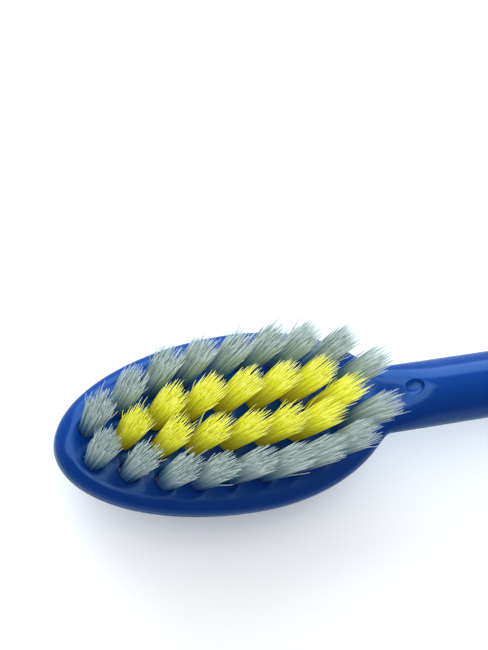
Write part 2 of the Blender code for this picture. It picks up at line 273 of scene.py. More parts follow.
class Bench:
    """A node tree, with short calls for adding and joining its nodes."""

    RANGE_KEYS = ("Value", "From Min", "From Max", "To Min", "To Max")
    NOISE_KEYS = ("Vector", "Scale", "Detail", "Roughness", "Distortion")
    MIX_KEYS = {"RGBA": (0, 6, 7), "VECTOR": (0, 4, 5)}
    MIX_RESULT = {"RGBA": 2, "VECTOR": 1}

    def __init__(self, tree: Tree) -> None:
        """Take over a node tree."""
        self.tree = tree

    def fill(self, node: Node, inputs: Inputs) -> None:
        """Join outputs to a node's inputs, or set the inputs' own values.

        Args:
            node: The node.
            inputs: An output or a value for each input, by the input's name or number.
        """
        for key, value in inputs.items():
            socket = node.inputs[key]
            if isinstance(value, Socket):
                self.tree.links.new(value, socket)
            else:
                socket.default_value = (*value, 1.0) if socket.type == "RGBA" else value

    def add(self, kind: str, inputs: Inputs | None = None, **settings: object) -> Node:
        """Add a node.

        Args:
            kind: The node's type.
            inputs: Values or outputs for its inputs, by name or number.
            settings: The node's own properties.

        Returns:
            The new node.
        """
        node = self.tree.nodes.new(kind)
        for name, value in settings.items():
            setattr(node, name, value)
        self.fill(node, inputs or {})
        return node

    def math(self, operation: str, first: object, second: object = 0.0) -> Socket:
        """Add a Math node and return its result."""
        node = self.add("ShaderNodeMath", {0: first, 1: second}, operation=operation)
        return node.outputs[0]

    def ranged(
        self, value: Socket, start: Pair, end: Pair = UNIT, easing: str = "LINEAR"
    ) -> Socket:
        """Carry a value over from one range to another and return the result."""
        inputs = dict(zip(self.RANGE_KEYS, (value, *start, *end)))
        return self.add("ShaderNodeMapRange", inputs, interpolation_type=easing).outputs["Result"]

    def noise(
        self, place: Socket, scale: Socket, detail: float, roughness: float = 0.5, bend: float = 0.0
    ) -> Socket:
        """Add a noise and return its value, which lies round 0.5."""
        inputs = dict(zip(self.NOISE_KEYS, (place, scale, detail, roughness, bend)))
        return self.add("ShaderNodeTexNoise", inputs).outputs["Fac"]

    def blend(
        self, share: object, first: object, second: object, kind: str = "RGBA", way: str = "MIX"
    ) -> Socket:
        """Blend two colours or two vectors.

        Args:
            share: How much of the second one is used.
            first: The first one, or an output that gives it.
            second: The second one, or an output that gives it.
            kind: RGBA for colours and VECTOR for vectors.
            way: How colours are put together.

        Returns:
            The result.
        """
        inputs = dict(zip(self.MIX_KEYS[kind], (share, first, second)))
        node = self.add("ShaderNodeMix", inputs, data_type=kind, blend_type=way)
        return node.outputs[self.MIX_RESULT[kind]]

    def ramp(self, share: Socket, stops: Sequence[tuple[float, Colour]]) -> Socket:
        """Read a colour from a ramp.

        Args:
            share: The output that gives the place on the ramp.
            stops: At least two pairs of place and colour.

        Returns:
            The colour.
        """
        node = self.add("ShaderNodeValToRGB", {"Fac": share})
        elements = node.color_ramp.elements
        for index, (place, colour) in enumerate(stops):
            element = elements[index] if index < len(elements) else elements.new(place)
            element.position = place
            element.color = (*colour, 1.0)
        return node.outputs["Color"]

    def softened_normal(self, share: float) -> Socket:
        """Turn the surface's normal towards the vertical, as light spreads in nylon.

        Args:
            share: How far it is turned, where 1 is upright.

        Returns:
            The turned normal.
        """
        own = self.add("ShaderNodeNewGeometry").outputs["Normal"]
        turned = self.blend(share, own, UP, "VECTOR")
        return self.add("ShaderNodeVectorMath", {0: turned}, operation="NORMALIZE").outputs[0]

    def place(self, stretch: Point = EVEN) -> Socket:
        """Return Object coordinates, stretched along each axis."""
        source = self.add("ShaderNodeTexCoord").outputs["Object"]
        return self.add("ShaderNodeMapping", {"Vector": source, "Scale": stretch}).outputs["Vector"]


def new_group(
    name: str, inputs: Sequence[str], outputs: Sequence[str]
) -> tuple[Bench, Node, Node]:
    """Start a shader node group.

    Args:
        name: The group's name.
        inputs: Names of its inputs. The one called Vector is a vector, the others are numbers.
        outputs: Names of its outputs, all numbers.

    Returns:
        A bench on the group, its input node and its output node.
    """
    group = bpy.data.node_groups.new(name, "ShaderNodeTree")
    for title in inputs:
        kind = "NodeSocketVector" if title == "Vector" else "NodeSocketFloat"
        group.interface.new_socket(title, in_out="INPUT", socket_type=kind)
    for title in outputs:
        group.interface.new_socket(title, in_out="OUTPUT", socket_type="NodeSocketFloat")
    bench = Bench(group)
    return bench, bench.add("NodeGroupInput"), bench.add("NodeGroupOutput")


class Effects:
    """Surface effects that several finishes share, as node groups built once."""

    DRIFT_INPUTS = ("Vector", "Scale", "Contrast")
    RELIEF_INPUTS = ("Vector", "Ripple Scale", "Scratch Scale", "Scratch Depth")
    NOISE_MIDDLE = 0.5
    CLOUD = {"detail": 3.0, "roughness": 0.55}
    RIPPLE = {"detail": 2.0, "roughness": 0.45}
    SCRATCH = {"detail": 1.0, "roughness": 0.4, "bend": 0.6}
    SCRATCH_WIDTH = 0.004
    SCRATCHED_PART = (0.56, 0.66)

    def __init__(self) -> None:
        """Build the groups."""
        self.drift = self._build_drift()
        self.relief = self._build_relief()

    def _build_drift(self) -> Tree:
        """Build a soft cloudy mask, from 0 to 1, of a chosen size and contrast.

        Returns:
            The group.
        """
        bench, given, result = new_group("tone_drift", self.DRIFT_INPUTS, ("Mask",))
        place, scale, contrast = (given.outputs[title] for title in self.DRIFT_INPUTS)
        centred = bench.math("SUBTRACT", bench.noise(place, scale, **self.CLOUD), self.NOISE_MIDDLE)
        inputs = {0: bench.math("MULTIPLY", centred, contrast), 1: self.NOISE_MIDDLE}
        lifted = bench.add("ShaderNodeMath", inputs, operation="ADD", use_clamp=True)
        bench.fill(result, {"Mask": lifted.outputs[0]})
        return bench.tree

    def _build_relief(self) -> Tree:
        """Build a fine relief, from 0 to 1: a soft ripple with a few hair scratches in it.

        Returns:
            The group.
        """
        titles = self.RELIEF_INPUTS
        bench, given, result = new_group("fine_relief", titles, ("Height", "Scratch"))
        place, ripple_scale, scratch_scale, depth = (given.outputs[title] for title in titles)
        bent = bench.noise(place, scratch_scale, **self.SCRATCH)
        ridge = bench.math("ABSOLUTE", bench.math("SUBTRACT", bent, self.NOISE_MIDDLE))
        line = bench.ranged(ridge, (0.0, self.SCRATCH_WIDTH), (1.0, 0.0))
        patch = bench.noise(place, ripple_scale, detail=0.0)
        scratch = bench.math("MULTIPLY", line, bench.ranged(patch, self.SCRATCHED_PART))
        ripple = bench.noise(place, ripple_scale, **self.RIPPLE)
        height = bench.math("SUBTRACT", ripple, bench.math("MULTIPLY", scratch, depth))
        bench.fill(result, {"Height": height, "Scratch": scratch})
        return bench.tree

    def cloud(self, bench: Bench, place: Socket, scale: float, contrast: float) -> Socket:
        """Place the cloudy mask in a material and return it."""
        inputs = dict(zip(self.DRIFT_INPUTS, (place, scale, contrast)))
        return bench.add("ShaderNodeGroup", inputs, node_tree=self.drift).outputs["Mask"]

    def bumps(
        self, bench: Bench, place: Socket, scales: Pair, scratch_depth: float, depth: float
    ) -> tuple[Socket, Socket]:
        """Place the fine relief in a material.

        Args:
            bench: The material's bench.
            place: The coordinates that it reads.
            scales: The scales of its ripple and of its scratches.
            scratch_depth: How deep a scratch is, against the ripple.
            depth: How high the whole relief is.

        Returns:
            The normal of the relief, and the mask of its scratches.
        """
        inputs = dict(zip(self.RELIEF_INPUTS, (place, *scales, scratch_depth)))
        relief = bench.add("ShaderNodeGroup", inputs, node_tree=self.relief)
        inputs = {"Strength": 1.0, "Distance": depth, "Height": relief.outputs["Height"]}
        return bench.add("ShaderNodeBump", inputs).outputs["Normal"], relief.outputs["Scratch"]


def new_material(name: str) -> tuple[Material, Bench, Node]:
    """Start a material on a Principled shader.

    Args:
        name: The material's name.

    Returns:
        The material, a bench on its tree, and its shader.
    """
    material = bpy.data.materials.new(name)
    material.use_nodes = True
    return material, Bench(material.node_tree), material.node_tree.nodes["Principled BSDF"]


@dataclass(frozen=True)
class MouldedPlastic:
    """Glossy plastic with a faint flow of its pigment, a soft skin ripple and hair scratches."""

    name: str = "blue_moulded_plastic"
    colour: Colour = (0.001, 0.036, 0.225)
    deep_colour: Colour = (0.0005, 0.029, 0.185)
    gleam: Colour = (0.30, 0.60, 1.0)
    ior: float = 1.49
    specular: float = 0.50
    roughness: Pair = (0.13, 0.22)
    flow_stretch: Point = (0.35, 1.0, 1.0)
    flow_scale: float = 160.0
    flow_contrast: float = 1.6
    gloss_scale: float = 420.0
    gloss_contrast: float = 2.0
    relief_scales: Pair = (520.0, 260.0)
    scratch_depth: float = 0.5
    scratch_dulling: float = 0.10
    relief_depth: float = 0.006 * MM

    def make(self, effects: Effects) -> Material:
        """Build the material.

        Args:
            effects: The shared effects.

        Returns:
            The material.
        """
        material, bench, shader = new_material(self.name)
        flow_place = bench.place(self.flow_stretch)
        flow = effects.cloud(bench, flow_place, self.flow_scale, self.flow_contrast)
        place = bench.place()
        gloss = effects.cloud(bench, place, self.gloss_scale, self.gloss_contrast)
        normal, scratch = effects.bumps(
            bench, place, self.relief_scales, self.scratch_depth, self.relief_depth
        )
        dulled = bench.math("MULTIPLY", scratch, self.scratch_dulling)
        bench.fill(shader, {
            "Base Color": bench.blend(flow, self.deep_colour, self.colour),
            "Roughness": bench.math("ADD", bench.ranged(gloss, UNIT, self.roughness), dulled),
            "Normal": normal,
            "IOR": self.ior,
            "Specular IOR Level": self.specular,
            "Specular Tint": self.gleam,
        })
        return material


@dataclass(frozen=True)
class NylonFilament:
    """Nylon filament whose colour differs strand by strand, with painted shade that darkens it
    towards its root and a painted glow.
    """

    name: str
    # stops: colours along the height share; their dark low end is painted shade among the roots
    stops: tuple[tuple[float, Colour], ...]
    dark_share: float = 0.87
    own_tone_share: float = 0.5
    roughness: Pair = (0.38, 0.52)
    glow: float = 1.0
    glow_depth: float = 0.05 * MM
    ior: float = 1.53
    specular: float = 0.18
    streak_stretch: Point = (1.0, 1.0, 0.05)
    streak_scale: float = 8200.0
    streak_contrast: float = 2.4
    softness: float = 0.84
    # Strength of a painted glow: emission in the nylon's own colour, standing in for light carried
    # through the filaments.
    painted_glow: float = 0.26

    def make(self, effects: Effects) -> Material:
        """Build the material.

        Args:
            effects: The shared effects.

        Returns:
            The material.
        """
        material, bench, shader = new_material(self.name)
        strand = bench.add("ShaderNodeUVMap", uv_map=STRAND_MAP)
        split = bench.add("ShaderNodeSeparateXYZ", {"Vector": strand.outputs["UV"]})
        place = bench.place(self.streak_stretch)
        streak = effects.cloud(bench, place, self.streak_scale, self.streak_contrast)
        own = bench.math("MULTIPLY", split.outputs["X"], self.own_tone_share)
        fine = bench.math("MULTIPLY", streak, 1 - self.own_tone_share)
        tone = bench.ranged(bench.math("ADD", own, fine), UNIT, (self.dark_share, 1.0))
        shade = bench.add("ShaderNodeCombineColor", {"Red": tone, "Green": tone, "Blue": tone})
        # The ramp paints shade: the colour darkens from the tips down to the roots.
        run = bench.ramp(split.outputs["Y"], self.stops)
        colour = bench.blend(1.0, run, shade.outputs["Color"], way="MULTIPLY")
        bench.fill(shader, {
            "Base Color": colour,
            # Emission paints a glow in the filament's colour, painted light for the light passing
            # through the nylon.
            "Emission Color": colour,
            "Emission Strength": self.painted_glow,
            "Normal": bench.softened_normal(self.softness),
            "Roughness": bench.ranged(streak, UNIT, self.roughness),
            "Subsurface Weight": self.glow,
            "Subsurface Radius": EVEN,
            "Subsurface Scale": self.glow_depth,
            "IOR": self.ior,
            "Specular IOR Level": self.specular,
        })
        return material


@dataclass(frozen=True)
class RolledMetal:
    """Cut strip of nickel silver, with rolling lines along it and a dull cloud over it."""

    name: str = "rolled_nickel_silver"
    colour: Colour = (0.66, 0.58, 0.42)
    dull_colour: Colour = (0.50, 0.42, 0.28)
    roughness: Pair = (0.24, 0.44)
    roll_stretch: Point = (0.05, 1.0, 1.0)
    cloud_scale: float = 2250.0
    cloud_contrast: float = 1.8
    relief_scales: Pair = (9000.0, 4500.0)
    scratch_depth: float = 0.6
    relief_depth: float = 0.003 * MM

    def make(self, effects: Effects) -> Material:
        """Build the material.

        Args:
            effects: The shared effects.

        Returns:
            The material.
        """
        material, bench, shader = new_material(self.name)
        place = bench.place(self.roll_stretch)
        shine = effects.cloud(bench, place, self.cloud_scale, self.cloud_contrast)
        normal, _ = effects.bumps(
            bench, place, self.relief_scales, self.scratch_depth, self.relief_depth
        )
        bench.fill(shader, {
            "Base Color": bench.blend(shine, self.dull_colour, self.colour),
            "Roughness": bench.ranged(shine, UNIT, self.roughness[::-1]),
            "Normal": normal,
            "Metallic": 1.0,
        })
        return material


@dataclass(frozen=True)
class TuftPlace:
    """Where one tuft stands on the head, and which way its anchor lies."""

    name: str
    nylon: Nylon
    x: float
    y: float
    bristle_height: float
    anchor_turn: float


@dataclass
class Handle:
    """The blue moulding: an egg-shaped head, a round neck and a swelling grip."""

    tip_to_widest: float = 13.4 * MM
    widest_to_neck: float = 10.4 * MM
    head_half_width: float = 6.25 * MM
    head_thickness: float = 4.1 * MM
    back_height: float = 3.7 * MM
    rim_radius: float = 1.0 * MM
    back_radius: float = 2.6 * MM
    head_to_neck_power: float = 6.0
    face_share: float = 0.912
    back_share: float = 0.45
    neck_half: float = 2.4 * MM
    neck_axis_below_face: float = 0.75 * MM
    neck_blend: float = 3.0 * MM
    neck_length: float = 27.0 * MM
    shoulder_length: float = 25.0 * MM
    upper_grip_length: float = 25.0 * MM
    lower_grip_length: float = 27.0 * MM
    tail_length: float = 22.2 * MM
    dome_length: float = 8.5 * MM
    crest: Pair = (6.4 * MM, 11.6 * MM)
    waist: Pair = (5.6 * MM, 10.4 * MM)
    palm: Pair = (6.6 * MM, 12.0 * MM)
    land_half_width: float = 2.6 * MM
    upper_share: float = 0.52
    hole_radius: float = 0.76 * MM
    hole_depth: float = 3.1 * MM
    hole_flare: float = 0.05 * MM
    parting_proud: float = 0.025 * MM
    parting_half_width: float = 0.06 * MM
    gate_place: Point = (-50.2 * MM, 0.35 * MM, 9.24 * MM)
    gate_radii: Point = (1.15 * MM, 0.72 * MM, 0.44 * MM)
    gate_steps: tuple[int, int] = (48, 32)
    nose_steps: int = 44
    rear_steps: int = 28
    stem_steps: tuple[int, ...] = (12, 14, 24, 18, 18, 8)
    dome_steps: int = 24
    corner_steps: int = 12
    hole_sides: int = 40
    flare_steps: int = 4
    smooth_angle: float = math.radians(38)
    weld_distance: float = 0.0008 * MM

    def __post_init__(self) -> None:
        """Work out the places and heights that follow from the sizes."""
        self.head_length = self.tip_to_widest + self.widest_to_neck
        self.face_end = self.head_length * self.face_share
        self.back_end = self.head_length * self.back_share
        self.neck_start = self.head_length + self.neck_blend
        self.neck_end = self.head_length + self.neck_length
        self.crest_at = self.neck_end + self.shoulder_length
        self.waist_at = self.crest_at + self.upper_grip_length
        self.palm_at = self.waist_at + self.lower_grip_length
        self.length = self.palm_at + self.tail_length
        self.dome_start = self.length - self.dome_length
        self.head_middle = (self.head_length - self.length) / 2
        self.face_height = self.back_height + self.head_thickness
        axis_height = self.face_height - self.neck_axis_below_face
        self.neck_top = axis_height + self.neck_half
        self.neck_bottom = axis_height - self.neck_half
        self.hole_floor = self.face_height - self.hole_depth

    def half_width(self, along: float) -> float:
        """Read the half width of the outline: the head's egg, blended with the neck and grip.

        Args:
            along: The place, measured from the head's tip.

        Returns:
            The half width.
        """
        ahead = along < self.tip_to_widest
        reach = self.tip_to_widest if ahead else self.widest_to_neck
        share = min(abs(along - self.tip_to_widest) / reach, 1.0)
        egg = self.head_half_width * math.sqrt(1 - share * share)
        nose = egg / self.head_half_width if ahead else 1.0
        stem = nose * eased(along, (
            (self.neck_end, self.neck_half), (self.crest_at, self.crest[0]),
            (self.waist_at, self.waist[0]), (self.palm_at, self.palm[0]),
        ))
        power = self.head_to_neck_power
        return (egg ** power + stem ** power) ** (1 / power)

    def rim_stretch(self, along: float) -> float:
        """Return how much wider a rounded rim looks across the brush where the outline slants."""
        low, high = max(along - self.rim_radius, 0.0), min(along + self.rim_radius, self.length)
        return math.hypot(1, (self.half_width(high) - self.half_width(low)) / (high - low))

    def corner(self, centre: Pair, radii: Pair, quarter: int) -> list[Pair]:
        """Work out a quarter ellipse of a section.

        Args:
            centre: The ellipse's centre, across and up.
            radii: Its radii, across and up.
            quarter: Which quarter, counted from the side at +Y.

        Returns:
            Its points from one end to the other, as pairs of across and up.
        """
        points = []
        for step in range(self.corner_steps + 1):
            turn = QUARTER_TURN * (quarter + step / self.corner_steps)
            across = centre[0] + radii[0] * math.cos(turn)
            points.append((across, centre[1] + radii[1] * math.sin(turn)))
        return points

    def section(self, along: float) -> list[Point]:
        """Work out one closed section of the handle.

        Args:
            along: The section's place, measured from the head's tip.

        Returns:
            Its points, from the parting line at +Y over the top and back under the brush.
        """
        outer = self.half_width(along)
        width = max(outer - self.parting_proud, 0.0)
        top = eased(along, (
            (self.face_end, self.face_height), (self.neck_start, self.neck_top),
            (self.neck_end, self.neck_top), (self.crest_at, self.crest[1]),
            (self.waist_at, self.waist[1]), (self.palm_at, self.palm[1]),
        ))
        bottom = eased(along, (
            (self.back_end, self.back_height), (self.neck_start, self.neck_bottom),
            (self.neck_end, self.neck_bottom), (self.crest_at, 0.0),
        ))
        land = eased(along, ((self.neck_end, 0.0), (self.crest_at, self.land_half_width)))
        roundness = eased(along, ((self.face_end, 0.0), (self.neck_start, 1.0)))
        height = top - bottom
        stretch = self.rim_stretch(along)
        rim = self.rim_radius * quarter_round(along, self.rim_radius)
        back = self.back_radius * quarter_round(along, self.back_radius)
        top -= self.rim_radius - rim
        bottom += self.back_radius - back
        upper = (
            mix(min(self.rim_radius * stretch, width), width, roundness),
            mix(rim, height * self.upper_share, roundness),
        )
        lower = (
            mix(min(self.back_radius * stretch, width), width - land, roundness),
            mix(back, height * (1 - self.upper_share), roundness),
        )
        parting = (top - upper[1] + bottom + lower[1]) / 2
        foot = min(self.parting_half_width, upper[1] / self.corner_steps)
        outline = [(outer, parting), (width, parting + foot)]
        outline += self.corner((width - upper[0], top - upper[1]), upper, 0)[1:]
        outline += self.corner((upper[0] - width, top - upper[1]), upper, 1)[:-1]
        outline += [(-width, parting + foot), (-outer, parting), (-width, parting - foot)]
        outline += self.corner((lower[0] - width, bottom + lower[1]), lower, 2)[1:]
        outline += self.corner((width - lower[0], bottom + lower[1]), lower, 3)[:-1]
        outline.append((width, parting - foot))
        size = quarter_round(self.length - along, self.dome_length)
        middle = self.palm[1] * (1 - self.upper_share)
        x = along - self.length / 2
        return [(x, across * size, middle + (up - middle) * size) for across, up in outline]

    def section_places(self) -> list[float]:
        """Space the sections, closer together where the outline curves.

        Returns:
            The sections' places, measured from the head's tip.
        """
        nose = self.tip_to_widest * (1 - np.cos(quarter_turns(self.nose_steps)))
        rear = self.tip_to_widest + self.widest_to_neck * np.sin(quarter_turns(self.rear_steps))
        dome = self.dome_start + self.dome_length * np.sin(quarter_turns(self.dome_steps))
        ends = (
            self.head_length, self.neck_start, self.neck_end, self.crest_at, self.waist_at,
            self.palm_at, self.dome_start,
        )
        places = [*nose, *rear[1:]]
        for start, end, steps in zip(ends, ends[1:], self.stem_steps):
            places += [mix(start, end, step / steps) for step in range(1, steps + 1)]
        return [float(place) for place in (*places, *dome[1:])]

    def hole_cutter(self, places: Sequence[TuftPlace]) -> Shape:
        """Build the tool for the tuft holes and the gate's dish.

        Args:
            places: The tufts that each need a hole.

        Returns:
            One blind hole's shape for each, flared at its mouth, and the dish on the neck.
        """
        profile = [(self.hole_floor, self.hole_radius)]
        for turn in quarter_turns(self.flare_steps):
            up = self.face_height - self.hole_flare * (1 - math.sin(turn))
            profile.append((up, self.hole_radius + self.hole_flare * (1 - math.cos(turn))))
        profile.append((self.face_height + self.rim_radius, self.hole_radius + self.hole_flare))
        circle = unit_circle(self.hole_sides)
        tool = bmesh.new()
        for place in places:
            loft = Loft([
                [(place.x + out * x, place.y + out * y, up) for x, y in circle]
                for up, out in profile
            ])
            loft.close_ends()
            mesh = bpy.data.meshes.new("hole")
            loft.weld(self.weld_distance).to_mesh(mesh)
            loft.shape.free()
            tool.from_mesh(mesh)
            bpy.data.meshes.remove(mesh)
        dish = Matrix.Translation(self.gate_place) @ Matrix.Diagonal((*self.gate_radii, 1))
        around, up = self.gate_steps
        bmesh.ops.create_uvsphere(tool, u_segments=around, v_segments=up, radius=1.0, matrix=dish)
        return tool

    def build(self, places: Sequence[TuftPlace], pockets: Shape) -> Piece:
        """Loft the moulding and cut its holes.

        Args:
            places: The tufts that each need a hole.
            pockets: The tool for the slots that the anchors bite into.

        Returns:
            The finished piece.
        """
        loft = Loft([self.section(along) for along in self.section_places()])
        body = object_from(loft.weld(self.weld_distance), "handle_moulding")
        cut(body, self.hole_cutter(places))
        cut(body, pockets)
        body.data.shade_smooth()
        body.data.set_sharp_from_angle(angle=self.smooth_angle)
        weighting = body.modifiers.new("flat_faces_first", "WEIGHTED_NORMAL")
        weighting.keep_sharp = True
        return body


@dataclass
class TuftPlan:
    """The pattern of tufts: a grey ring round two yellow rows and two yellow singles."""

    handle: Handle
    grey_height: float = 9.3 * MM
    yellow_height: float = 8.8 * MM
    pair_turn: float = math.radians(30)
    lean_along: float = 0.047
    lean_across: float = 0.080
    grey_pairs: tuple[Pair, ...] = (
        (0.100, 0.174), (0.193, 0.358), (0.292, 0.515), (0.386, 0.568), (0.485, 0.570),
        (0.579, 0.594), (0.669, 0.558), (0.766, 0.470), (0.846, 0.230),
    )
    yellow_pairs: tuple[Pair, ...] = (
        (0.290, 0.157), (0.391, 0.190), (0.492, 0.202), (0.592, 0.205), (0.693, 0.206),
    )
    yellow_singles: tuple[Pair, ...] = ((0.192, 0.0), (0.763, 0.0))

    def places(self) -> list[TuftPlace]:
        """Lay out the tufts.

        Returns:
            Every tuft's place, in the order of the CAD nodes.
        """
        places: list[TuftPlace] = []
        rows = (
            (Nylon.GREY, self.grey_pairs, (-1, 1), self.grey_height, self.pair_turn),
            (Nylon.YELLOW, self.yellow_pairs, (-1, 1), self.yellow_height, self.pair_turn),
            (Nylon.YELLOW, self.yellow_singles, (1,), self.yellow_height, 0.0),
        )
        for nylon, shares, sides, height, turn in rows:
            for (along_share, across_share), side in product(shares, sides):
                number = sum(place.nylon is nylon for place in places) + 1
                x = self.handle.head_length * along_share - self.handle.length / 2
                y = self.handle.head_half_width * across_share * side
                name = f"{nylon.value}_{number:02d}"
                places.append(TuftPlace(name, nylon, x, y, height, turn * side))
        return places

    def tip_centre(self, place: TuftPlace) -> Vector:
        """Return where a tuft's tips are centred: it leans away from the middle of the head."""
        along = place.x + (place.x - self.handle.head_middle) * self.lean_along
        return Vector((along, place.y * (1 + self.lean_across)))

    def tip_reach(self, place: TuftPlace, places: Sequence[TuftPlace]) -> float:
        """Return how far a tuft's tips may spread before they meet those of its neighbours."""
        own = self.tip_centre(place)
        return min((own - self.tip_centre(other)).length for other in places if other != place) / 2


@dataclass
class Anchors:
    """The flat metal anchors: all but the last are CAD nodes, and the last is made here."""

    handle: Handle
    thickness: float = 0.25 * MM
    height: float = 1.4 * MM
    bite: float = 0.2 * MM
    clearance: float = 0.1 * MM
    bottom: float = 5.5 * MM
    edge_round: float = 0.02 * MM
    edge_steps: int = 2
    edge_profile: float = 0.5

    def __post_init__(self) -> None:
        """Work out the places that follow from the sizes."""
        self.middle = self.bottom + self.height / 2
        self.half_length = self.handle.hole_radius + self.bite

    def add_strip(self, shape: Shape, place: TuftPlace, gap: float = 0.0) -> None:
        """Add a tuft's anchor strip to a shape.

        Args:
            shape: The shape to add to.
            place: The tuft that the strip holds.
            gap: How much larger it is on every side.
        """
        size = ((self.half_length + gap) * 2, self.thickness + gap * 2, self.height + gap * 2)
        middle = Matrix.Translation((place.x, place.y, self.middle))
        turned = middle @ Matrix.Rotation(place.anchor_turn, 4, "Z")
        bmesh.ops.create_cube(shape, size=1, matrix=turned @ Matrix.Diagonal((*size, 1)))

    def pockets(self, places: Sequence[TuftPlace]) -> Shape:
        """Build the tool for the slots in the head that the anchors bite into.

        Args:
            places: The tufts whose anchors need a slot.

        Returns:
            All the slots as one shape.
        """
        tool = bmesh.new()
        for place in places:
            self.add_strip(tool, place, self.clearance)
        return tool

    def build(self, place: TuftPlace) -> Piece:
        """Make one anchor strip with its cut edges broken.

        Args:
            place: The tuft that it holds.

        Returns:
            The finished piece.
        """
        shape = bmesh.new()
        self.add_strip(shape, place)
        bmesh.ops.bevel(
            shape, geom=shape.edges, offset=self.edge_round, segments=self.edge_steps,
            profile=self.edge_profile, affect="EDGES", material=-1,
        )
        return object_from(shape, f"anchor_{place.name}")


@dataclass
class Tuft:
    """One tuft: a bundle of nylon filaments folded under its anchor, with tapered tips.

    Among the thin strands stand locks, pointed sheaves of packed filaments that fill the bundle.
    """

    place: TuftPlace
    plan: TuftPlan
    anchors: Anchors
    reach: float
    seed: int
    filament_radius: float = 0.062 * MM
    folded_radius: float = 0.034 * MM
    tip_radius: float = 0.006 * MM
    spacing: float = 0.120 * MM
    widest_reach: float = 0.98 * MM
    wall_gap: float = 0.02 * MM
    fold_gap: float = 0.06 * MM
    fold_bends: tuple[float, ...] = (1.0, 0.5, 0.0)
    sides: int = 4
    levels: tuple[float, ...] = (0.0, 0.32, 0.54, 0.70, 0.85, 1.0)
    taper: tuple[float, ...] = (1.0, 1.0, 0.88, 0.62, 0.32, 0.0)
    jitter: float = 0.030 * MM
    mouth_calm: float = 3.0
    sway: float = 0.04 * MM
    clump_from: float = 0.35
    stray_share: float = 0.06
    stray_reach: float = 0.50 * MM
    stray_shares: Pair = (0.2, 1.0)
    strand_rise: Pair = (0.12, 0.30)
    locks: int = 30
    lock_sides: int = 6
    lock_spread: float = 0.84
    lock_jitter: float = 0.03
    lock_radius_share: float = 0.22
    lock_depth: float = 0.8 * MM
    lock_bend: float = 0.45
    lock_levels: tuple[float, ...] = (0.35, 0.65, 0.86, 1.0)
    lock_sizes: tuple[float, ...] = (1.0, 1.0, 1.0, 1.0, 0.90, 0.68, 0.38, 0.05)
    lock_tip_shares: Pair = (0.68, 0.82)
    lock_dome_share: float = 0.01
    lock_pull: Pair = (0.0, 0.3)

    def __post_init__(self) -> None:
        """Start the tuft's own random draws, the same in every run, and lay out its locks."""
        self.draws = np.random.default_rng(self.seed)
        cosine, sine = math.cos(self.place.anchor_turn), math.sin(self.place.anchor_turn)
        self.axes = np.array([[cosine, sine], [-sine, cosine]])
        self.lean = np.array(self.plan.tip_centre(self.place)) - (self.place.x, self.place.y)
        self.mouth_radius = self.plan.handle.hole_radius - self.wall_gap - self.filament_radius
        self.tip_room = min(self.reach, self.widest_reach)
        index = np.arange(self.locks)
        turns = index * GOLDEN_TURN + self.draws.random() * math.tau
        out = np.sqrt((index + 0.5) / self.locks) * self.lock_spread
        loose = self.draws.normal(0.0, self.lock_jitter, (self.locks, 2))
        self.lock_spots = np.stack([out * np.cos(turns), out * np.sin(turns)], axis=1) + loose
        own = self.draws.uniform(*self.lock_tip_shares, self.locks)
        self.lock_tips = own - out ** 2 * self.lock_dome_share

    def mouth_places(self) -> np.ndarray:
        """Set out the strands in rows on both sides of the anchor.

        Returns:
            Where they leave the hole, along and across the anchor.
        """
        limit = self.mouth_radius
        row_step = self.spacing * math.sqrt(3) / 2
        feet = []
        for row in range(math.ceil(limit / row_step - 0.5)):
            off = (row + 0.5) * row_step
            half_row = math.sqrt(limit * limit - off * off)
            count = int(half_row / self.spacing) + 1
            alongs = ((index + row % 2 / 2) * self.spacing for index in range(-count, count + 1))
            feet += [(along, off) for along in alongs if abs(along) <= half_row]
        half = np.array(feet)
        half += self.draws.normal(0.0, self.jitter / self.mouth_calm, half.shape)
        return np.concatenate([half, half * (1, -1)])

    def folded_places(self, mouth: np.ndarray) -> np.ndarray:
        """Part the strands to the two sides of the anchor.

        Args:
            mouth: The strands' places at the hole's mouth.

        Returns:
            Their places beside the anchor.
        """
        limit = self.plan.handle.hole_radius - self.wall_gap - self.folded_radius
        clear = self.anchors.thickness / 2 + self.wall_gap + self.folded_radius
        along, off = mouth[:, 0], np.abs(mouth[:, 1])
        parted = clear + off * (limit - clear) / limit
        was = np.sqrt(np.maximum(limit ** 2 - off ** 2, 0.0)) + self.wall_gap
        room = np.sqrt(np.maximum(limit ** 2 - parted ** 2, 0.0))
        squeezed = along * np.minimum(room / was, 1.0)
        return np.stack([squeezed, np.sign(mouth[:, 1]) * parted], axis=1)

    def tips(self, mouth: np.ndarray) -> tuple[np.ndarray, np.ndarray, np.ndarray]:
        """Work out where the strands end.

        Args:
            mouth: The strands' places at the hole's mouth, in the brush's directions.

        Returns:
            The tips' places before they gather in clumps, the places where they end, and their
            shares of the tuft's height.
        """
        count = len(mouth)
        room = self.tip_room - self.tip_radius
        spread = mouth / self.mouth_radius * room + self.draws.normal(0.0, self.jitter, mouth.shape)
        far = np.linalg.norm(spread, axis=1, keepdims=True)
        spread *= np.minimum(room / far, 1.0)
        centres = self.lock_spots * room
        nearest = np.argmin(np.linalg.norm(spread[:, None] - centres[None], axis=2), axis=1)
        pull = self.draws.uniform(*self.lock_pull, (count, 1))
        gathered = spread + (centres[nearest] - spread) * pull
        outward = mouth / np.linalg.norm(mouth, axis=1, keepdims=True)
        strays = self.draws.random((count, 1)) < self.stray_share
        reach = self.draws.uniform(*self.stray_shares, (count, 1))
        gathered += outward * reach * self.stray_reach * strays
        rise = self.draws.uniform(*self.strand_rise, count)
        height = np.minimum(self.lock_tips[nearest] + rise, 1.0)
        return spread + self.lean, gathered + self.lean, height

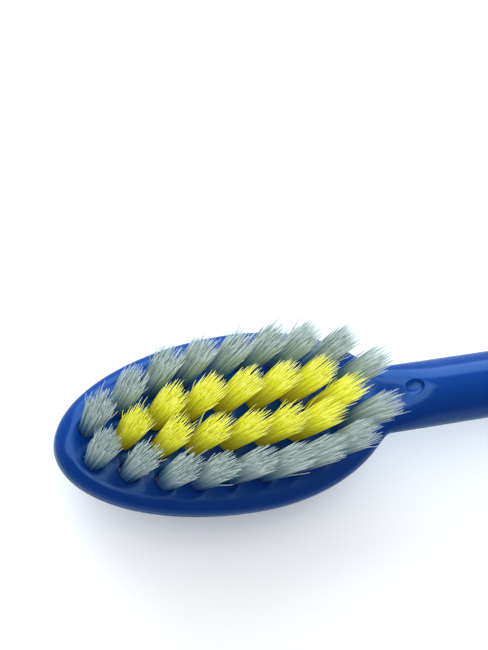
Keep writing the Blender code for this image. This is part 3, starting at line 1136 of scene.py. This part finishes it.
    def strand_paths(self) -> tuple[np.ndarray, np.ndarray, np.ndarray]:
        """Work out every strand's run, from the fold under the anchor to its tip.

        Returns:
            The middle of each strand's rings, in the brush's frame, each ring's share of the
            height over the head's face, which is below zero in the hole, and its radius.
        """
        handle = self.plan.handle
        axes = self.axes
        mouth = self.mouth_places()
        beside = self.folded_places(mouth)
        flat_mouth = mouth @ axes
        loose, gathered, height = self.tips(flat_mouth)
        fold_top = self.anchors.bottom - self.fold_gap
        off = np.abs(beside[:, 1])
        share = (off - off.min()) / (off.max() - off.min())
        room = fold_top - handle.hole_floor - self.wall_gap - self.folded_radius
        drop = mix(self.folded_radius, room, share)
        rings = []
        for bend in self.fold_bends:
            angle = QUARTER_TURN * bend
            spot = beside * (1, math.cos(angle)) @ axes
            rings.append(np.column_stack([spot, fold_top - drop * math.sin(angle)]))
        anchor_top = self.anchors.bottom + self.anchors.height + self.fold_gap
        rings.append(np.column_stack([beside @ axes, np.full(len(mouth), anchor_top)]))
        radii = [self.folded_radius] * len(rings)
        side = self.draws.normal(0.0, self.sway, (len(mouth), 2))
        for level, size in zip(self.levels, self.taper):
            straight = flat_mouth + (loose - flat_mouth) * level
            clumping = smooth_share((level - self.clump_from) / (1 - self.clump_from))
            drawn = (gathered - loose) * clumping
            bowed = side * math.sin(math.pi * level) * level
            up = handle.face_height + self.place.bristle_height * height * level
            rings.append(np.column_stack([straight + drawn + bowed, up]))
            radii.append(mix(self.tip_radius, self.filament_radius, size))
        path = np.stack(rings, axis=1)
        shares = (path[:, :, 2] - handle.face_height) / self.place.bristle_height
        return path + (self.place.x, self.place.y, 0.0), shares, np.array(radii)

    def lock_paths(self) -> tuple[np.ndarray, np.ndarray, np.ndarray]:
        """Work out the locks' runs, from below the hole's mouth to their points.

        Returns:
            The middle of each lock's rings, each ring's share of the bristles' height, and its
            radius.
        """
        height = self.place.bristle_height
        low = np.array([-self.lock_depth / height, 0.0, self.lock_bend / 2, self.lock_bend])
        above = self.lock_tips[:, None] - self.lock_bend
        high = self.lock_bend + above * np.array(self.lock_levels)
        shares = np.concatenate([np.tile(low, (self.locks, 1)), high], axis=1)
        room = self.mouth_radius + (self.tip_room - self.mouth_radius) * np.maximum(shares, 0.0)
        flat = self.lock_spots[:, None] * room[..., None] + self.lean * shares[..., None]
        path = np.concatenate([flat, shares[..., None] * height], axis=2)
        radii = room * self.lock_radius_share * np.array(self.lock_sizes)
        return path + (self.place.x, self.place.y, self.plan.handle.face_height), shares, radii

    def rings_round(self, path: np.ndarray, radii: np.ndarray, sides: int) -> np.ndarray:
        """Set a ring of points round every place on some runs.

        Args:
            path: The middle of each run's rings.
            radii: The rings' radii.
            sides: How many points each ring has.

        Returns:
            The coordinates of the rings' points, one after another.
        """
        along_anchor = np.append(self.axes[0], 0.0)
        tangent = np.gradient(path, axis=1)
        tangent /= np.linalg.norm(tangent, axis=2, keepdims=True)
        first = along_anchor - tangent * (tangent @ along_anchor)[..., None]
        first /= np.linalg.norm(first, axis=2, keepdims=True)
        second = np.cross(tangent, first)
        turns = (np.arange(sides) * math.tau / sides)[:, None]
        around = first[:, :, None] * np.cos(turns) + second[:, :, None] * np.sin(turns)
        return (path[:, :, None] + around * radii[..., None, None]).reshape(-1)

    def build(self) -> Piece:
        """Bundle the strands and the locks into one piece.

        Returns:
            The finished piece, whose UV map holds each strand's own tone and the height share.
        """
        path, shares, radii = self.strand_paths()
        lock_path, lock_shares, lock_radii = self.lock_paths()
        bundle = bmesh.new()
        points = []
        for runs, sizes, sides in (
            (path, radii, self.sides), (lock_path, lock_radii, self.lock_sides)
        ):
            tube = tube_shape(runs.shape[1], sides)
            for _ in runs:
                bundle.from_mesh(tube)
            bpy.data.meshes.remove(tube)
            points.append(self.rings_round(runs, sizes, sides))
        piece = object_from(bundle, f"bristles_{self.place.name}")
        piece.data.vertices.foreach_set("co", np.concatenate(points).astype(np.float32))
        lock_tones = self.draws.random((self.locks, 1, self.lock_sides))
        tones = np.concatenate([
            np.repeat(self.draws.random(len(path)), path.shape[1] * self.sides),
            np.broadcast_to(lock_tones, (*lock_shares.shape, self.lock_sides)).reshape(-1),
        ])
        heights = np.repeat(shares, self.sides), np.repeat(lock_shares, self.lock_sides)
        corners = np.empty(len(piece.data.loops), dtype=np.int32)
        piece.data.loops.foreach_get("vertex_index", corners)
        marks = np.stack([tones, np.concatenate(heights)], axis=1)[corners]
        layer = piece.data.uv_layers.new(name=STRAND_MAP)
        layer.uv.foreach_set("vector", marks.reshape(-1).astype(np.float32))
        piece.data.shade_smooth()
        piece.data.update()
        return piece


@dataclass(frozen=True)
class Softbox:
    """A soft rectangular lamp."""

    name: str
    place: Point
    size: Pair
    power: float
    tint: Colour = EVEN

    def build(self, aim: Point) -> None:
        """Make the lamp.

        Args:
            aim: The place that it faces.
        """
        light = bpy.data.lights.new(self.name, "AREA")
        light.shape = "RECTANGLE"
        light.size, light.size_y = self.size
        light.energy = self.power
        light.color = self.tint
        lamp = bpy.data.objects.new(self.name, light)
        bpy.context.scene.collection.objects.link(lamp)
        lamp.location = self.place
        way = Vector(aim) - Vector(self.place)
        lamp.rotation_euler = way.to_track_quat("-Z", "Y").to_euler()


@dataclass
class Studio:
    """A plain pale floor, soft light and the camera."""

    eye: Point = (-88.987 * MM, -13.826 * MM, 106.218 * MM)
    right: Point = (0.9538171, -0.1869162, 0.2351494)
    down: Point = (-0.1302095, -0.9627215, -0.2370921)
    forward: Point = (0.2706997, 0.1955237, -0.9425986)
    lens: float = 83.08
    sensor: float = 36.0
    nearest: float = 1.0 * MM
    farthest: float = 20.0
    floor_size: float = 6.0
    floor_steps: int = 8
    floor_colour: Colour = (0.36, 0.50, 0.62)
    seen_colour: Colour = (0.97, 0.975, 0.98)
    floor_roughness: float = 0.9
    floor_specular: float = 0.1
    whitening: Pair = (0.05, 0.20)
    ambient: Pair = (0.26, 0.62)
    ambient_colour: Colour = (0.97, 0.985, 1.0)
    softboxes: tuple[Softbox, ...] = (
        Softbox("key_softbox", (-0.20, 0.10, 0.56), (0.55, 0.55), 2.9),
        Softbox("fill_softbox", (-0.02, 0.53, 0.25), (0.80, 0.46), 4.4, (0.70, 0.86, 1.0)),
    )
    aim: Point = (-0.060, 0.0, 0.008)

    def build(self) -> None:
        """Make the floor, the world, the lamps and the camera."""
        self.make_floor()
        self.make_world()
        for softbox in self.softboxes:
            softbox.build(self.aim)
        self.make_camera()
        bpy.context.scene.view_settings.view_transform = "Standard"

    def make_floor(self) -> None:
        """Make the floor, which fades to plain white away from the brush."""
        steps = self.floor_steps
        shape = bmesh.new()
        bmesh.ops.create_grid(shape, x_segments=steps, y_segments=steps, size=self.floor_size / 2)
        floor = object_from(shape, "studio_floor")
        material, bench, shader = new_material("pale_floor")
        seen = bench.add("ShaderNodeLightPath").outputs["Is Camera Ray"]
        away = bench.add("ShaderNodeVectorMath", {0: bench.place()}, operation="LENGTH")
        fade = bench.ranged(away.outputs["Value"], self.whitening, easing="SMOOTHSTEP")
        plain = bench.add("ShaderNodeEmission", {"Color": EVEN, "Strength": 1.0})
        blend = bench.add("ShaderNodeMixShader", {
            "Fac": bench.math("MULTIPLY", fade, seen),
            1: shader.outputs["BSDF"], 2: plain.outputs["Emission"],
        })
        bench.fill(shader, {
            "Base Color": bench.blend(seen, self.floor_colour, self.seen_colour),
            "Roughness": self.floor_roughness,
            "Specular IOR Level": self.floor_specular,
        })
        bench.fill(material.node_tree.nodes["Material Output"], {"Surface": blend.outputs[0]})
        floor.data.materials.append(material)

    def make_world(self) -> None:
        """Make a soft surround, brighter behind the brush, that the camera sees as white."""
        world = bpy.data.worlds.new("studio_surround")
        world.use_nodes = True
        bpy.context.scene.world = world
        bench = Bench(world.node_tree)
        way = bench.add("ShaderNodeTexCoord").outputs["Generated"]
        across = bench.add("ShaderNodeSeparateXYZ", {"Vector": way}).outputs["Y"]
        lit = bench.ranged(across, (-1.0, 1.0), self.ambient)
        seen = bench.add("ShaderNodeLightPath").outputs["Is Camera Ray"]
        bench.fill(world.node_tree.nodes["Background"], {
            "Color": self.ambient_colour,
            "Strength": bench.math("MAXIMUM", seen, lit),
        })

    def make_camera(self) -> None:
        """Set the camera at the photograph's place and angle."""
        camera = bpy.data.cameras.new("camera")
        camera.lens = self.lens
        camera.sensor_width = self.sensor
        camera.clip_start = self.nearest
        camera.clip_end = self.farthest
        item = bpy.data.objects.new("camera", camera)
        bpy.context.scene.collection.objects.link(item)
        columns = (Vector(self.right), -Vector(self.down), -Vector(self.forward))
        turn = Matrix(columns).transposed().to_4x4()
        item.matrix_world = Matrix.Translation(self.eye) @ turn
        bpy.context.scene.camera = item


@dataclass
class Toothbrush:
    """The whole brush, from its handle to its filaments."""

    handle: Handle = field(default_factory=Handle)
    blue: MouldedPlastic = MouldedPlastic()
    metal: RolledMetal = RolledMetal()
    grey: NylonFilament = NylonFilament(
        name="grey_nylon",
        # Painted shade and painted blue light from the head: the grey darkens and turns blue
        # towards the roots.
        stops=(
            (0.0, (0.004, 0.035, 0.150)), (0.16, (0.018, 0.075, 0.170)),
            (0.34, (0.080, 0.165, 0.220)), (0.54, (0.215, 0.315, 0.335)),
            (0.74, (0.365, 0.465, 0.448)), (1.0, (0.510, 0.602, 0.572)),
        ),
        dark_share=0.90,
        # painted glow of the grey nylon
        painted_glow=0.24,
    )
    yellow: NylonFilament = NylonFilament(
        name="yellow_nylon",
        # Painted shade: the yellow darkens towards the roots.
        stops=(
            (0.0, (0.240, 0.215, 0.001)), (0.35, (0.480, 0.450, 0.002)),
            (0.80, (0.870, 0.880, 0.034)), (1.0, (0.985, 1.000, 0.260)),
        ),
    )
    first_seed: int = 11

    def build(self) -> None:
        """Build and dress every piece, in order."""
        effects = Effects()
        plan = TuftPlan(self.handle)
        anchors = Anchors(self.handle)
        places = plan.places()
        moulding = self.handle.build(places, anchors.pockets(places))
        dress(moulding, Slot.HANDLE, self.blue.make(effects), "handle_body")
        nylon = {Nylon.GREY: self.grey.make(effects), Nylon.YELLOW: self.yellow.make(effects)}
        for seed, place in enumerate(places, self.first_seed):
            tuft = Tuft(place, plan, anchors, plan.tip_reach(place, places), seed)
            dress(tuft.build(), place.nylon.slot, nylon[place.nylon], f"tuft_{place.name}")
        self.dress_anchors(anchors, places, self.metal.make(effects))

    def dress_anchors(
        self, anchors: Anchors, places: Sequence[TuftPlace], metal: Material
    ) -> None:
        """Give the CAD anchors their metal, and make those that have no node.

        Args:
            anchors: The anchors' sizes.
            places: The tufts that they hold.
            metal: The material that they wear.
        """
        for place in places:
            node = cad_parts.get(f"anchor_{place.name}")
            if node is None:
                dress(anchors.build(place), Slot.METAL, metal)
                continue
            node.data.materials.clear()
            node.data.materials.append(metal)
            log.info("%s: CAD node, new metal", node.name)


def main() -> None:
    """Build the brush and its studio."""
    logging.basicConfig(level=logging.INFO, format="%(name)s: %(message)s")
    Toothbrush().build()
    Studio().build()


if __name__ == "__main__":
    main()
